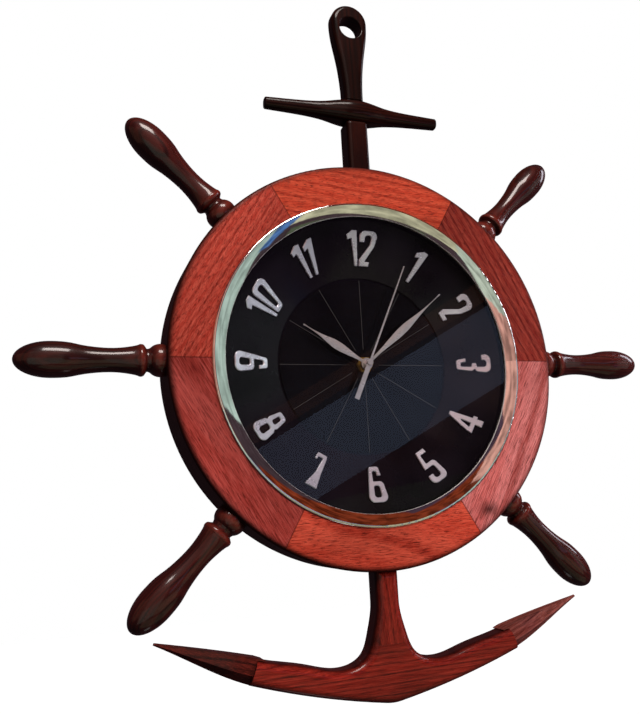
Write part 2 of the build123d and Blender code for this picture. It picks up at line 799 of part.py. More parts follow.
seven_shares = [
    (0.18, 0), (0.76, 0), (0.80, 0.42), (1, 0.90), (1, 1), (0, 1), (0, 0.80), (0.20, 0.80), (0.20, 0.89),
    (0.66, 0.89), (0.46, 0.45),
]
eight_shares = [
    (0, 0, bow_share), (1, 0, bow_share), (1, 0.46, knee_share), (0.88, 0.53), (1, 0.60, knee_share),
    (1, 1, bow_share), (0, 1, bow_share), (0, 0.60, knee_share), (0.12, 0.53), (0, 0.46, knee_share),
]


def turned(shares):
    """An outline in the unit box turned by half a turn."""
    return [(1 - x, 1 - y, *soft) for x, y, *soft in shares]


digit_shares = {
    "0": [zero_shares, counter(y_share, far_y_share)],
    "1": [one_shares],
    "2": [two_shares],
    "3": [three_shares],
    "4": [four_shares, four_counter_shares],
    "5": [five_shares],
    "6": [six_shares, counter(y_share, 0.46)],
    "7": [seven_shares],
    "8": [eight_shares, counter(y_share, 0.46), counter(0.60, far_y_share)],
    "9": [turned(six_shares), turned(counter(y_share, 0.46))],
}
dish_run = dish_radius - dish_floor_radius
slope_length = hypot(dish_run, dish_drop)
slope_out, slope_forward = dish_run / slope_length, dish_drop / slope_length
numeral_length = (numeral_outer_radius - numeral_inner_radius) / slope_out
numeral_middle = (numeral_outer_radius + numeral_inner_radius) / 2
numeral_depth = flange_front + (dish_radius - numeral_middle) / dish_run * dish_drop


def numeral_plane(hour, lift):
    """A plane on the cone at this hour, lifted off it; the lower numerals stand on the outer edge."""
    turn = radians(360 / hour_count * hour)
    out = Vector(sin(turn), 0, cos(turn))
    up_slope = out * slope_out + Vector(0, -1, 0) * slope_forward
    normal = Vector(0, -1, 0) * slope_out - out * slope_forward
    middle = Vector(*hub) + out * numeral_middle + Vector(0, numeral_depth, 0) + normal * lift
    upright = -1 if 4 <= hour <= 8 else 1
    return Plane(origin=middle, x_dir=up_slope.cross(normal) * upright, z_dir=normal)


def digit_outlines(hour):
    """Every outline of an hour's digits with its corner radii, tapered towards the dial's centre."""
    text = str(hour)
    widths = [one_width_share if digit == "1" else 1 for digit in text]
    total = sum(widths) + digit_gap_share * (len(text) - 1)
    outlines = []
    left = -total / 2
    for digit, width in zip(text, widths):
        for ring_number, ring in enumerate(digit_shares[digit]):
            points, corners = [], []
            for x, y, *soft in ring:
                outward = 1 - y if 4 <= hour <= 8 else y
                across = numeral_narrow + (numeral_wide - numeral_narrow) * outward
                points.append(((left + x * width) * across, (y - 1 / 2) * numeral_length))
                corners.append(soft[0] * across if soft else numeral_corner)
            outlines.append((points, corners, ring_number > 0))
        left += width + digit_gap_share
    return outlines


# Numerals: raised digits with a bevelled front, fitted to the cone
with BuildPart() as numerals:
    for hour in range(1, hour_count + 1):
        face_normal = numeral_plane(hour, 0).z_dir
        with BuildSketch(numeral_plane(hour, -numeral_sink)):
            for points, corners, is_counter in digit_outlines(hour):
                with BuildLine():
                    FilletPolyline(*points, radius=corners, close=True)
                make_face(mode=Mode.SUBTRACT if is_counter else Mode.ADD)
        extrude(amount=numeral_height + numeral_sink)
        digit_fronts = numerals.faces(Select.LAST).group_by(Axis(hub, face_normal))[-1]
        chamfer(digit_fronts.edges(), numeral_bevel)
    with BuildSketch(hub_section):
        with BuildLine():
            Polyline(
                (dish_radius, flange_front - glue_gap),
                (dish_floor_radius, dish_foot - glue_gap),
                (dish_floor_radius, floor_back),
                (dish_radius, floor_back),
                close=True,
            )
        make_face()
    revolve(axis=hub_axis, mode=Mode.SUBTRACT)
save(numerals, "numerals")


def hand_plane(depth, angle):
    """A plane facing the viewer, with Y along a hand at this clockwise angle from twelve."""
    turn = radians(angle)
    return Plane(origin=(0, depth, -hub_drop), x_dir=(cos(turn), 0, -sin(turn)), z_dir=(0, -1, 0))


def leaf_hand(plane, length, half_width, bore_radius):
    """A leaf-shaped hand: a boss on its tube and a blade with a ridge along the middle."""
    right = [(half_width * leaf_root_share, bore_radius)]
    right += [(half_width * wide, length * along) for along, wide in leaf_shares]
    left = [(-x, y) for x, y in reversed(right)]
    edge_height = hand_thickness - half_width * hand_ridge_slope_share
    with BuildSketch(plane) as blade:
        with BuildLine():
            Line(left[-1], right[0])
            Spline(*right)
            Line(right[-1], left[0])
            Spline(*left)
        make_face()
    with BuildSketch(Plane(origin=plane.origin, x_dir=plane.x_dir, z_dir=-plane.y_dir)) as roof:
        with BuildLine():
            Polyline(
                (0, hand_thickness),
                (-half_width, edge_height),
                (-half_width, 0),
                (half_width, 0),
                (half_width, edge_height),
                close=True,
            )
        make_face()
    with BuildSketch(plane) as boss:
        Circle(bore_radius + hand_boss_wall)
    with BuildSketch(plane) as boss_bore:
        Circle(bore_radius)
    extrude(blade.sketch, amount=hand_thickness)
    extrude(roof.sketch, amount=-length, mode=Mode.INTERSECT)
    extrude(boss.sketch, amount=hand_thickness)
    extrude(boss_bore.sketch, amount=hand_thickness, mode=Mode.SUBTRACT)


# Hour hand and minute hand
with BuildPart() as hour_hand:
    hour_plane = hand_plane(hour_hand_back, hour_hand_angle)
    leaf_hand(hour_plane, hour_hand_length, hour_hand_half_width, hour_tube_radius + press_gap)
save(hour_hand, "hour_hand")

with BuildPart() as minute_hand:
    minute_plane = hand_plane(minute_hand_back, minute_hand_angle)
    leaf_hand(minute_plane, minute_hand_length, minute_hand_half_width, minute_tube_radius + press_gap)
save(minute_hand, "minute_hand")

# Second hand: a thin needle, a broad tail and a boss pressed on the arbor
second_plane = hand_plane(second_hand_back, second_hand_angle)
with BuildPart() as second_hand:
    with BuildSketch(second_plane):
        with BuildLine():
            Polyline(
                (second_hand_half_width, 0),
                (second_hand_half_width / 2, second_hand_length),
                (-second_hand_half_width / 2, second_hand_length),
                (-second_hand_half_width, 0),
                (-second_tail_half_width, -second_boss_radius),
                (-second_tail_half_width, -second_hand_tail),
                (second_tail_half_width, -second_hand_tail),
                (second_tail_half_width, -second_boss_radius),
                close=True,
            )
        make_face()
    extrude(amount=hand_thickness)
    with BuildSketch(second_plane.offset(-second_boss_height)):
        Circle(second_boss_radius)
    extrude(amount=second_boss_height + 2 * hand_thickness)
    with BuildSketch(second_plane.offset(-second_boss_height)):
        Circle(second_arbor_radius + press_gap)
    extrude(amount=second_boss_height + hand_thickness, mode=Mode.SUBTRACT)
save(second_hand, "second_hand")

# Round nut that holds the minute hand, and the brass nut that holds the movement to the dial
with BuildPart() as minute_nut:
    with BuildSketch(front_plane(minute_hand_front)):
        Circle(minute_nut_radius)
        Circle(minute_tube_radius + press_gap, mode=Mode.SUBTRACT)
    extrude(amount=minute_nut_height)
save(minute_nut, "minute_nut")

with BuildPart() as bush_nut:
    with BuildSketch(front_plane(disc_front)):
        RegularPolygon(radius=bush_nut_width / 2, side_count=6, major_radius=False)
        Circle(bush_radius + press_gap, mode=Mode.SUBTRACT)
    extrude(amount=bush_nut_height)
save(bush_nut, "bush_nut")

# Movement case: a box open at the back, with the bush, a wall beside the battery, studs and posts
post_inset = 2 * post_radius
board_post_x = post_inset - case_half
board_posts = ((board_post_x, case_high - post_inset), (board_post_x, post_inset - bay_top))
stator_post_rise = coil_height - coil_core_width / 2 - post_radius - seat_gap
stator_posts = ((stator_left, stator_post_rise), (stator_right, stator_post_rise))
train_pivots = [(place, arbor_radius) for place in (third_place, fifth_place, rotor_place)]
with BuildPart() as movement_case:
    with BuildSketch(front_plane(case_front + case_depth, case_middle)):
        RectangleRounded(*case_outside, case_corner)
    extrude(amount=case_depth)
    with BuildSketch(front_plane(case_front + case_depth, case_middle)):
        RectangleRounded(*case_inside, case_corner - case_wall)
    extrude(amount=case_depth - case_wall, mode=Mode.SUBTRACT)
    with BuildSketch(front_plane(case_front + case_depth, (0, -bay_top + bay_wall / 2))):
        Rectangle(2 * case_half, bay_wall)
    extrude(amount=case_depth - case_wall)
    for place in board_posts + stator_posts:
        with BuildSketch(front_plane(case_front + stator_layer, place)):
            Circle(post_radius)
        extrude(amount=stator_layer - case_wall)
    with BuildSketch(front_plane(case_front + centre_layer - layer_gap / 2, motion_place)):
        Circle(stud_radius)
    extrude(amount=centre_layer - layer_gap / 2 - case_wall)
    with BuildSketch(front_plane(case_front)):
        Circle(bush_radius)
    extrude(amount=case_front - bush_front)
    with BuildSketch(front_plane(case_front + case_wall)):
        Circle(bush_bore_radius)
    extrude(amount=case_front + case_wall - bush_front, mode=Mode.SUBTRACT)
    for place, radius in train_pivots + [(set_place, set_arbor_radius)]:
        with BuildSketch(front_plane(case_front + case_wall, place)):
            Circle(radius + running_gap)
        extrude(amount=pivot_depth + running_gap, mode=Mode.SUBTRACT)
save(movement_case, "movement_case")

# Rear cover with the battery opening, the pivot holes and the hole for the setting arbor
cover_back = case_front + case_depth + cover_thickness
with BuildPart() as movement_cover:
    with BuildSketch(front_plane(cover_back)):
        with Locations(case_middle):
            RectangleRounded(*case_outside, case_corner)
        with Locations((0, -battery_drop)):
            Rectangle(2 * case_half, case_low - bay_top, mode=Mode.SUBTRACT)
        with Locations(set_place):
            Circle(set_arbor_radius + running_gap, mode=Mode.SUBTRACT)
    extrude(amount=cover_thickness)
    for place, radius in train_pivots + [((0, 0), second_arbor_radius)]:
        with BuildSketch(front_plane(case_front + case_depth + pivot_depth + running_gap, place)):
            Circle(radius + running_gap)
        extrude(amount=pivot_depth + running_gap, mode=Mode.SUBTRACT)
save(movement_cover, "movement_cover")

# Battery and its two contacts
battery_middle = (0, case_front + battery_depth, -hub_drop - battery_drop)
battery_plane = Plane(origin=battery_middle, x_dir=(1, 0, 0), z_dir=(0, 0, 1))
battery_axis = Axis(battery_middle, (1, 0, 0))
with BuildPart() as battery:
    with BuildSketch(battery_plane):
        with BuildLine():
            Polyline(
                (-battery_end, 0),
                (-battery_end, battery_radius),
                (battery_end - battery_nub_length, battery_radius),
                (battery_end - battery_nub_length, battery_nub_radius),
                (battery_end, battery_nub_radius),
                (battery_end, 0),
                close=True,
            )
        make_face()
    revolve(axis=battery_axis)
save(battery, "battery")

contact_size = 2 * (battery_radius - contact_inset)
for side, name in ((1, "contact_plus"), (-1, "contact_minus")):
    contact_plane = Plane(
        origin=(side * case_half, case_front + battery_depth, -hub_drop - battery_drop),
        x_dir=(0, 1, 0),
        z_dir=(-side, 0, 0),
    )
    with BuildPart() as contact:
        with BuildSketch(contact_plane):
            Rectangle(contact_size, contact_size)
        extrude(amount=contact_thickness)
        with BuildSketch(contact_plane):
            Circle(contact_pad_radius)
        extrude(amount=case_half - battery_end)
    save(contact, name)


def gear(place, teeth, module, front, back, lead):
    """A toothed wheel between two depths behind the case's front face, with a tooth at the angle lead."""
    pitch = 360 / teeth
    middle_radius = module * teeth / 2
    root_radius = middle_radius - module * tooth_root_share
    flank = [
        (root_radius, tooth_root_width_share),
        (middle_radius, tooth_middle_width_share),
        (tip_radius(teeth, module), tooth_tip_width_share),
    ]
    points = []
    for tooth in range(teeth):
        centre = lead + tooth * pitch
        points += [polar(radius, centre - share * pitch) for radius, share in flank]
        points += [polar(radius, centre + share * pitch) for radius, share in reversed(flank)]
    with BuildSketch(front_plane(case_front + back, place)) as wheel:
        with BuildLine():
            Polyline(*points, close=True)
        make_face()
    extrude(wheel.sketch, amount=back - front)


def meshing_lead(lead, teeth, other_teeth, angle):
    """The tooth angle of a wheel that meshes, in the direction angle, with one whose tooth is at lead."""
    return angle + 180 + 180 / other_teeth + (angle - lead) * teeth / other_teeth


def rod(place, radius, front, back):
    """A round rod between two depths behind the case's front face."""
    with BuildSketch(front_plane(case_front + back, place)) as disc:
        Circle(radius)
    extrude(disc.sketch, amount=back - front)


def bore(place, radius, front, back):
    with BuildSketch(front_plane(case_front + back, place)) as disc:
        Circle(radius)
    extrude(disc.sketch, amount=back - front, mode=Mode.SUBTRACT)


# Wheels of the train, each moulded with its pinion and its arbor
second_front = second_hand_back - hand_thickness - case_front
minute_front = minute_nut_front - case_front
hour_front = hour_hand_back - hand_thickness - case_front

second_pinion_front = third_layer - layer_gap / 2
with BuildPart() as second_wheel:
    gear((0, 0), second_wheel_teeth, second_module, second_layer, second_layer + wheel_face, fifth_angle)
    gear((0, 0), second_pinion_teeth, second_module, second_pinion_front, second_layer, third_angle)
    rod((0, 0), second_arbor_radius, second_front, arbor_back)
save(second_wheel, "second_wheel")

fifth_lead = meshing_lead(fifth_angle, second_wheel_teeth, fifth_pinion_teeth, fifth_angle)
fifth_pinion_front = second_layer - pinion_overlap
with BuildPart() as fifth_wheel:
    gear(fifth_place, fifth_pinion_teeth, second_module, fifth_pinion_front, fifth_layer, fifth_lead)
    gear(fifth_place, fifth_wheel_teeth, rotor_module, fifth_layer, fifth_layer + wheel_face, rotor_angle)
    rod(fifth_place, arbor_radius, arbor_front, arbor_back)
save(fifth_wheel, "fifth_wheel")

rotor_lead = meshing_lead(rotor_angle, fifth_wheel_teeth, rotor_pinion_teeth, rotor_angle)
rotor_pinion_front = fifth_layer - pinion_overlap
rotor_pinion_back = fifth_layer + wheel_face + pinion_overlap
magnet_front = stator_layer - layer_gap / 2
with BuildPart() as rotor:
    gear(rotor_place, rotor_pinion_teeth, rotor_module, rotor_pinion_front, rotor_pinion_back, rotor_lead)
    rod(rotor_place, magnet_radius, magnet_front, magnet_front + magnet_height)
    rod(rotor_place, arbor_radius, arbor_front, arbor_back)
save(rotor, "rotor")

third_lead = meshing_lead(third_angle, second_pinion_teeth, third_wheel_teeth, third_angle)
third_pinion_front = centre_layer - pinion_overlap
with BuildPart() as third_wheel:
    gear(third_place, third_wheel_teeth, second_module, third_layer, third_layer + wheel_face, third_lead)
    gear(third_place, third_pinion_teeth, minute_module, third_pinion_front, third_layer, third_angle)
    rod(third_place, arbor_radius, arbor_front, arbor_back)
save(third_wheel, "third_wheel")

to_centre = third_angle + 180
centre_lead = meshing_lead(to_centre, third_pinion_teeth, centre_wheel_teeth, to_centre)
with BuildPart() as centre_wheel:
    gear((0, 0), centre_wheel_teeth, minute_module, centre_layer, centre_layer + wheel_face, centre_lead)
    gear((0, 0), cannon_teeth, motion_module, cannon_layer - pinion_overlap, centre_layer, motion_angle)
    rod((0, 0), minute_tube_radius, minute_front, centre_layer)
    bore((0, 0), minute_bore_radius, minute_front, centre_layer + wheel_face)
save(centre_wheel, "centre_wheel")

to_hour = motion_angle + 180
motion_front = hour_layer - pinion_overlap
motion_back = cannon_layer + wheel_face
motion_lead = meshing_lead(motion_angle, cannon_teeth, motion_wheel_teeth, motion_angle)
with BuildPart() as motion_wheel:
    gear(motion_place, motion_wheel_teeth, motion_module, cannon_layer, motion_back, motion_lead)
    gear(motion_place, motion_pinion_teeth, motion_module, motion_front, cannon_layer, to_hour)
    bore(motion_place, stud_radius + running_gap, motion_front, motion_back)
save(motion_wheel, "motion_wheel")

hour_lead = meshing_lead(to_hour, motion_pinion_teeth, hour_wheel_teeth, to_hour)
with BuildPart() as hour_wheel:
    gear((0, 0), hour_wheel_teeth, motion_module, hour_layer, hour_layer + wheel_face, hour_lead)
    rod((0, 0), hour_tube_radius, hour_front, hour_layer)
    bore((0, 0), hour_bore_radius, hour_front, hour_layer + wheel_face)
save(hour_wheel, "hour_wheel")

# Setting arbor and the knob at the back
set_lead = meshing_lead(motion_lead, motion_wheel_teeth, set_pinion_teeth, motion_angle)
set_pinion_front = cannon_layer - pinion_overlap
with BuildPart() as set_arbor:
    gear(set_place, set_pinion_teeth, motion_module, set_pinion_front, motion_back + pinion_overlap, set_lead)
    rod(set_place, set_arbor_radius, arbor_front, knob_front + knob_thickness / 2)
save(set_arbor, "set_arbor")

with BuildPart() as set_knob:
    rod(set_place, knob_radius, knob_front, knob_front + knob_thickness)
    bore(set_place, set_arbor_radius + press_gap, knob_front, knob_front + knob_thickness / 2)
save(set_knob, "set_knob")

# Stepper motor: a stator with two legs round the rotor, and a core with its coil across the legs
core_layer = stator_layer - stator_thickness
stator_foot = rotor_place[1]
leg_top = coil_height + stator_leg / 2
with BuildPart() as stator:
    with BuildSketch(front_plane(case_front + stator_layer + stator_thickness)):
        for leg_x in (stator_left, stator_right):
            with Locations((leg_x, (stator_foot + leg_top) / 2)):
                Rectangle(stator_leg, leg_top - stator_foot + stator_leg)
        with Locations((coil_middle, stator_foot)):
            Rectangle(stator_right - stator_left, stator_leg)
        with Locations(rotor_place):
            Circle(stator_pad_radius)
            Circle(magnet_radius + magnet_gap, mode=Mode.SUBTRACT)
    extrude(amount=stator_thickness)
save(stator, "stator")

with BuildPart() as coil_core:
    with BuildSketch(front_plane(case_front + stator_layer)):
        with Locations((coil_middle, coil_height)):
            Rectangle(stator_right - stator_left + stator_leg, coil_core_width)
    extrude(amount=stator_thickness)
save(coil_core, "coil_core")

coil_plane = Plane(
    origin=(coil_middle, case_front + core_layer + stator_thickness / 2, coil_height - hub_drop),
    x_dir=(0, 1, 0),
    z_dir=(1, 0, 0),
)
with BuildPart() as coil_bobbin:
    with BuildSketch(coil_plane.offset(-coil_length / 2)):
        Circle(bobbin_radius)
    extrude(amount=coil_length)
    for end in (-coil_length / 2, coil_length / 2 - bobbin_flange):
        with BuildSketch(coil_plane.offset(end)):
            Circle(bobbin_flange_radius)
        extrude(amount=bobbin_flange)
    with BuildSketch(coil_plane.offset(-coil_length / 2)):
        Rectangle(stator_thickness + 2 * glue_gap, coil_core_width + 2 * glue_gap)
    extrude(amount=coil_length, mode=Mode.SUBTRACT)
save(coil_bobbin, "coil_bobbin")

with BuildPart() as coil_winding:
    with BuildSketch(coil_plane.offset(-coil_length / 2 + bobbin_flange)):
        Circle(coil_radius)
        Circle(bobbin_radius + press_gap, mode=Mode.SUBTRACT)
    extrude(amount=coil_length - 2 * bobbin_flange)
save(coil_winding, "coil_winding")

# Circuit board on its posts, with the quartz crystal on its back
board_left = -case_half + board_inset
board_top = case_high - board_inset
board_foot = -bay_top + bay_wall + board_inset
board_right = -board_right_edge
with BuildPart() as circuit_board:
    with BuildSketch(front_plane(case_front + stator_layer + board_thickness)):
        with Locations(((board_left + board_right) / 2, (board_top + board_foot) / 2)):
            Rectangle(board_right - board_left, board_top - board_foot)
        with Locations(third_place):
            Circle(2 * arbor_radius, mode=Mode.SUBTRACT)
    extrude(amount=board_thickness)
save(circuit_board, "circuit_board")

crystal_x = board_left + 2 * crystal_length
crystal_depth = case_front + stator_layer + board_thickness + crystal_radius
crystal_rise = board_top - 2 * crystal_radius - hub_drop
crystal_plane = Plane(origin=(crystal_x, crystal_depth, crystal_rise), x_dir=(0, 1, 0), z_dir=(-1, 0, 0))
with BuildPart() as quartz_crystal:
    with BuildSketch(crystal_plane):
        Circle(crystal_radius)
    extrude(amount=crystal_length)
save(quartz_crystal, "quartz_crystal")
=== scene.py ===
import json
from functools import partial
from math import cos, radians, sin

import bpy
import numpy as np
from mathutils import Matrix, Vector

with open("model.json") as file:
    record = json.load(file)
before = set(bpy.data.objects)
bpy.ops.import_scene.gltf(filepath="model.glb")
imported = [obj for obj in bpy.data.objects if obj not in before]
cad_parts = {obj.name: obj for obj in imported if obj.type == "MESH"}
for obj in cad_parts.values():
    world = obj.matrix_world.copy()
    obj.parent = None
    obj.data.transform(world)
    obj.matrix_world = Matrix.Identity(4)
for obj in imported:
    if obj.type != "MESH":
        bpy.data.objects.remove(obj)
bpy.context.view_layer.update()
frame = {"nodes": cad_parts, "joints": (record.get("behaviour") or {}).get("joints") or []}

# Wall clock in a wooden ship's wheel, with an anchor above and below it.
# Metres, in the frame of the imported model: the hanging eye is the origin and the dial looks along -Y.

nodes = frame["nodes"]
scene = bpy.context.scene
mm = 0.001
handsAxis = next(joint["pos_m"] for joint in frame["joints"] if joint["name"] == "second_spin")
hub = Vector((handsAxis[0], 0, handsAxis[2]))  # middle of the wheel
print("stage: frame loaded,", len(nodes), "nodes")


def linear(hexText):  # sRGB hex to the linear colour that a shader takes
    parts = [int(hexText[i:i + 2], 16) / 255 for i in (1, 3, 5)]
    return [c / 12.92 if c <= 0.04045 else ((c + 0.055) / 1.055) ** 2.4 for c in parts] + [1.0]


# One node with its settings. An input takes a value or a link, and a colour ramp takes its stops.
def addNode(tree, kind, inputs=None, stops=None, **settings):
    made = tree.nodes.new("ShaderNode" + kind)
    for key, value in settings.items():
        setattr(made, key, value)
    for key, value in (inputs or {}).items():
        if isinstance(value, bpy.types.NodeSocket):
            tree.links.new(value, made.inputs[key])
        else:
            made.inputs[key].default_value = value
    for number, (place, colour) in enumerate(stops or []):
        if number > 1:
            made.color_ramp.elements.new(place)
        stop = made.color_ramp.elements[number]
        stop.position = place
        stop.color = colour if isinstance(colour, list) else (colour, colour, colour, 1)
    return made


def newMaterial(name):  # material, its tree, its Principled shader and the object coordinates
    made = bpy.data.materials.new(name)
    made.use_nodes = True
    tree = made.node_tree
    shader = next(n for n in tree.nodes if n.type == "BSDF_PRINCIPLED")
    return made, tree, shader, addNode(tree, "TexCoord").outputs["Object"]


def coatShader(tree, shader, tone, rough, relief):  # links the three patterns that every solid finish has
    for key, socket in (("Base Color", tone), ("Roughness", rough), ("Normal", relief)):
        tree.links.new(socket, shader.inputs[key])


def showSurface(tree, socket, output="OUTPUT_MATERIAL"):  # this shader is what the tree gives
    tree.links.new(socket, next(n for n in tree.nodes if n.type == output).inputs["Surface"])


def dress(name, material):  # gives a CAD node its material
    nodes[name].data.materials.clear()
    nodes[name].data.materials.append(material)


def finishName(finish, node):  # material name: the finish, then the piece
    return finish + node.title().replace("_", "")


# Wood. Growth rings round a tilted pith, fine fibres along them, open pores as short dark dashes, slow clouds
# of stain over all, and a varnish coat on top.
grainStretch = {"rings": 0.10, "fibres": 0.030, "clouds": 0.35}  # across to along, for each pattern
ringWave = 0.314  # metres from ring to ring in a wave texture at a scale of 1
logSpread = 0.4  # metres either way within which a piece is cut from its log
woodSeeds = {"rim": 10, "handles": 30, "anchor": 50, "dowel": 70}


def stainedWood(name, look, grainAngle, seed, marks=None):
    made, tree, shader, coords = newMaterial(name)
    rng = np.random.default_rng(seed)
    tilt = radians(look["tilt"]) * rng.uniform(-1, 1, 2)
    place = tuple(rng.uniform(-logSpread, logSpread, 3))
    fromHub = addNode(tree, "VectorMath", {0: coords, 1: hub}, operation="SUBTRACT").outputs[0]
    alongGrain = addNode(tree, "Mapping", {
        "Vector": fromHub, "Rotation": (tilt[0], radians(grainAngle), tilt[1])}).outputs[0]
    board = addNode(tree, "Mapping", {"Vector": alongGrain, "Location": place}).outputs[0]
    stretches = dict(grainStretch, pores=look["poreWidth"] / look["poreLength"])
    runs = {key: addNode(tree, "Mapping", {"Vector": board, "Scale": (value, 1, 1)}).outputs[0]
            for key, value in stretches.items()}
    rings = addNode(tree, "TexWave", {
        "Vector": runs["rings"], "Scale": ringWave / look["ringSpacing"], "Distortion": look["ringWaver"],
        "Detail": 3.0, "Detail Scale": 0.6, "Detail Roughness": 0.6,
    }, wave_type="RINGS", rings_direction="X").outputs["Fac"]
    fibres = addNode(tree, "TexNoise", {
        "Vector": runs["fibres"], "Scale": 1 / look["fibreWidth"], "Detail": 7.0, "Roughness": 0.68,
    }).outputs["Fac"]
    pores = addNode(tree, "TexNoise", {
        "Vector": runs["pores"], "Scale": 1 / look["poreWidth"], "Detail": 2.0}).outputs["Fac"]
    clouds = addNode(tree, "TexNoise", {
        "Vector": runs["clouds"], "Scale": 1 / look["cloudSize"], "Detail": 3.0}).outputs["Fac"]

    # rings and fibres give the figure, then clouds, pores, painted shade on the sides and the piece's own
    # marks go over it
    dark, mid, light, pore = [linear(look[key]) for key in ("dark", "mid", "light", "pore")]
    figure = addNode(tree, "ValToRGB", {0: rings}, [
        (0.0, mid), (0.5, light), (0.86, light), (1.0, dark)]).outputs[0]
    streaks = addNode(tree, "ValToRGB", {0: fibres}, [(0.37, dark), (0.50, mid), (0.64, light)]).outputs[0]
    body = addNode(tree, "Mix", {0: look["fibreShare"], 6: figure, 7: streaks}, data_type="RGBA").outputs[2]
    shade = addNode(tree, "ValToRGB", {0: clouds}, [(0.34, look["cloudDepth"]), (0.62, 1.0)]).outputs[0]
    body = addNode(tree, "Mix", {
        0: 1.0, 6: body, 7: shade}, data_type="RGBA", blend_type="MULTIPLY").outputs[2]
    dashes = addNode(tree, "ValToRGB", {0: pores}, [
        (look["poreEdge"], 0.0), (look["poreEdge"] + look["poreSoft"], 1.0)]).outputs[0]
    stain = addNode(tree, "Math", {0: dashes, 1: look["poreShare"]}, operation="MULTIPLY").outputs[0]
    body = addNode(tree, "Mix", {0: stain, 6: body, 7: pore}, data_type="RGBA").outputs[2]
    # painted shade: faces that turn away from front and back are mixed towards the pore colour
    facing = addNode(tree, "SeparateXYZ", {0: addNode(tree, "TexCoord").outputs["Normal"]}).outputs[1]
    frontal = addNode(tree, "Math", {0: facing}, operation="ABSOLUTE").outputs[0]
    sideOn, faceOn = look["sideFacing"]
    sides = addNode(tree, "MapRange", {
        0: frontal, 1: sideOn, 2: faceOn, 3: look["sideShade"], 4: 0.0}).outputs[0]
    body = addNode(tree, "Mix", {0: sides, 6: body, 7: pore}, data_type="RGBA").outputs[2]
    for amount, colour in (marks(tree, fromHub, fibres) if marks else []):
        body = addNode(tree, "Mix", {0: amount, 6: body, 7: linear(colour)}, data_type="RGBA").outputs[2]

    rough = addNode(tree, "ValToRGB", {0: fibres}, [
        (0.3, look["roughness"] + look["fibreDull"]),
        (0.7, look["roughness"] - look["fibreShine"])]).outputs[0]
    raised = addNode(tree, "Math", {
        0: fibres, 1: look["fibreRelief"], 2: stain}, operation="MULTIPLY_ADD").outputs[0]
    relief = addNode(tree, "Bump", {
        "Height": raised, "Distance": -look["relief"], "Strength": 0.7}).outputs[0]
    coatShader(tree, shader, body, rough, relief)
    shader.inputs["Specular IOR Level"].default_value = look["specular"]
    shader.inputs["Coat Weight"].default_value = look["coat"]
    shader.inputs["Coat Roughness"].default_value = look["coatRoughness"]
    return made


# Rim: rosewood boards, sawn, stained and wiped with satin varnish. Each board keeps its own grain and a tone
# that is partly its own stain and partly painted light, pores stay open and dark, and the light spreads into
# a soft sheen.
rimWood = {
    "pore": "#3A0D07", "ringSpacing": 8 * mm, "ringWaver": 2.6, "fibreWidth": 0.7 * mm, "fibreShare": 0.62,
    "poreWidth": 0.36 * mm, "poreLength": 9 * mm, "poreEdge": 0.57, "poreSoft": 0.06, "poreShare": 0.75,
    "cloudSize": 45 * mm, "cloudDepth": 0.66, "relief": 0.10 * mm, "fibreRelief": 0.35, "tilt": 5,
    "roughness": 0.5, "fibreDull": 0.1, "fibreShine": 0.06,  # dark fibres are duller, pale ones shine
    "specular": 0.06, "coat": 0.06, "coatRoughness": 0.25,
    "sideShade": 0.45, "sideFacing": (0.35, 0.9),  # painted shade: faces turned away from front and back are darker
}
# Board 1 is darkened as painted shade, boards 4 to 6 are lightened as painted light for the lower half, and
# board 6's pink is a painted sheen.
boardTonesAndLight = {  # dark, mid and light tone of each board: its own stain, with painted light and shade
    1: ("#480F0B", "#80261D", "#A84636"),
    2: ("#7C2013", "#B23B25", "#CC5539"),
    3: ("#7A1E14", "#B03A2B", "#CE5C48"),
    4: ("#6A1C16", "#A63C32", "#C85E54"),
    5: ("#861F14", "#CC4630", "#E26248"),
    6: ("#84302A", "#C8625A", "#E8928A"),
}
rimMarks = {
    "edgeFrom": 145.0 * mm, "edgeTo": 149.4 * mm, "edgeShadeShare": 0.95, "edgeShadeColour": "#1C0705",  # painted shade on the turned outer edge and side
    "jointWidth": 0.7 * mm, "jointShare": 0.75, "jointColour": "#2A0A06",  # glue line at each end of a board
    "knotBoard": 6, "knotPlace": (82.7 * mm, -111.9 * mm), "knotSize": (10.5 * mm, 6.5 * mm),
    "knotColour": "#1E0605", "knotShare": 0.85, "knotFade": (0.7, 1.7), "knotRagged": 1.2,
}
boardAngle = 360 / len(boardTonesAndLight)


